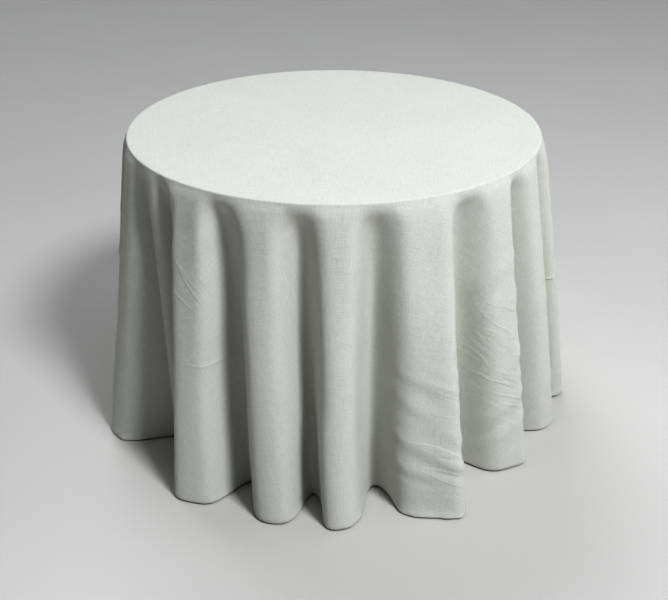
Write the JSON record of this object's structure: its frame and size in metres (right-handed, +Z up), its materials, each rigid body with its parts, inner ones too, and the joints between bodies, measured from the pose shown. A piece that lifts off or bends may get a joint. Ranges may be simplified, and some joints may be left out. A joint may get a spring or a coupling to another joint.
{
  "type": "tablecloth on a round table",
  "caption": "Round folding table under a floor-length linen cloth that hangs to the floor in deep folds.",
  "frame": {"origin": "on the floor, under the centre of the round top", "axes": "+Z up; -Y towards the front; +X to the right seen from the front; the leg frames stand at +X and -X"},
  "size_m": [1.2687, 1.25, 0.75],
  "materials": {
    "linen": "matt slubbed plain weave",
    "hem_linen": "matt slubbed plain weave, turned up and stitched",
    "thread": "spun thread",
    "plywood": "sealed birch plywood",
    "bearer_wood": "planed softwood",
    "edge_vinyl": "smooth moulded vinyl",
    "leg_paint": "hammered grey powder coat",
    "zinc_steel": "bright zinc plate",
    "foot_rubber": "dull black"
  },
  "bodies": {
    "table_and_cloth": {"tablecloth_panel": "linen", "hem_turn_up": "hem_linen", "hem_thread": "thread", "table_board": "plywood", "edge_band": "edge_vinyl", "keeper_screws": "zinc_steel", "bearer_right": "bearer_wood", "saddle_screws_right": "zinc_steel", "saddle_right_front": "zinc_steel", "keeper_right_front": "zinc_steel", "saddle_right_rear": "zinc_steel", "keeper_right_rear": "zinc_steel", "bearer_left": "bearer_wood", "saddle_screws_left": "zinc_steel", "saddle_left_front": "zinc_steel", "keeper_left_front": "zinc_steel", "saddle_left_rear": "zinc_steel", "keeper_left_rear": "zinc_steel"},
    "leg_frame_right": {"leg_tube_right": "leg_paint", "cross_tube_right": "leg_paint", "brace_pivots_right": "zinc_steel", "foot_cap_right_front": "foot_rubber", "foot_cap_right_rear": "foot_rubber"},
    "leg_frame_left": {"leg_tube_left": "leg_paint", "cross_tube_left": "leg_paint", "brace_pivots_left": "zinc_steel", "foot_cap_left_front": "foot_rubber", "foot_cap_left_rear": "foot_rubber"},
    "brace_right_front": {"brace_right_front": "zinc_steel"},
    "brace_right_rear": {"brace_right_rear": "zinc_steel"},
    "brace_left_front": {"brace_left_front": "zinc_steel"},
    "brace_left_rear": {"brace_left_rear": "zinc_steel"}
  },
  "joints": [
    {"name": "leg_fold_right", "type": "hinge", "parent": "table_and_cloth", "child": "leg_frame_right", "pos_m": [0.325, 0, 0.7074], "axis": [0, 1, 0], "range_deg": [0, 92.5]},
    {"name": "brace_swing_right_front", "type": "hinge", "parent": "leg_frame_right", "child": "brace_right_front", "pos_m": [0.33503, -0.2475, 0.47762], "axis": [0, -1, 0], "range_deg": [0, 139.98]},
    {"name": "brace_swing_right_rear", "type": "hinge", "parent": "leg_frame_right", "child": "brace_right_rear", "pos_m": [0.33503, 0.2475, 0.47762], "axis": [0, -1, 0], "range_deg": [0, 139.98]},
    {"name": "leg_fold_left", "type": "hinge", "parent": "table_and_cloth", "child": "leg_frame_left", "pos_m": [-0.325, 0, 0.6734], "axis": [0, -1, 0], "range_deg": [0, 92.5]},
    {"name": "brace_swing_left_front", "type": "hinge", "parent": "leg_frame_left", "child": "brace_left_front", "pos_m": [-0.33503, -0.1675, 0.44362], "axis": [0, 1, 0], "range_deg": [0, 143.81]},
    {"name": "brace_swing_left_rear", "type": "hinge", "parent": "leg_frame_left", "child": "brace_left_rear", "pos_m": [-0.33503, 0.1675, 0.44362], "axis": [0, 1, 0], "range_deg": [0, 143.81]}
  ],
  "couplings": [
    {"joint": "brace_swing_right_front", "follows": "leg_fold_right", "ratio": 1.5131},
    {"joint": "brace_swing_right_rear", "follows": "leg_fold_right", "ratio": 1.5131},
    {"joint": "brace_swing_left_front", "follows": "leg_fold_left", "ratio": 1.5546},
    {"joint": "brace_swing_left_rear", "follows": "leg_fold_left", "ratio": 1.5546}
  ]
}
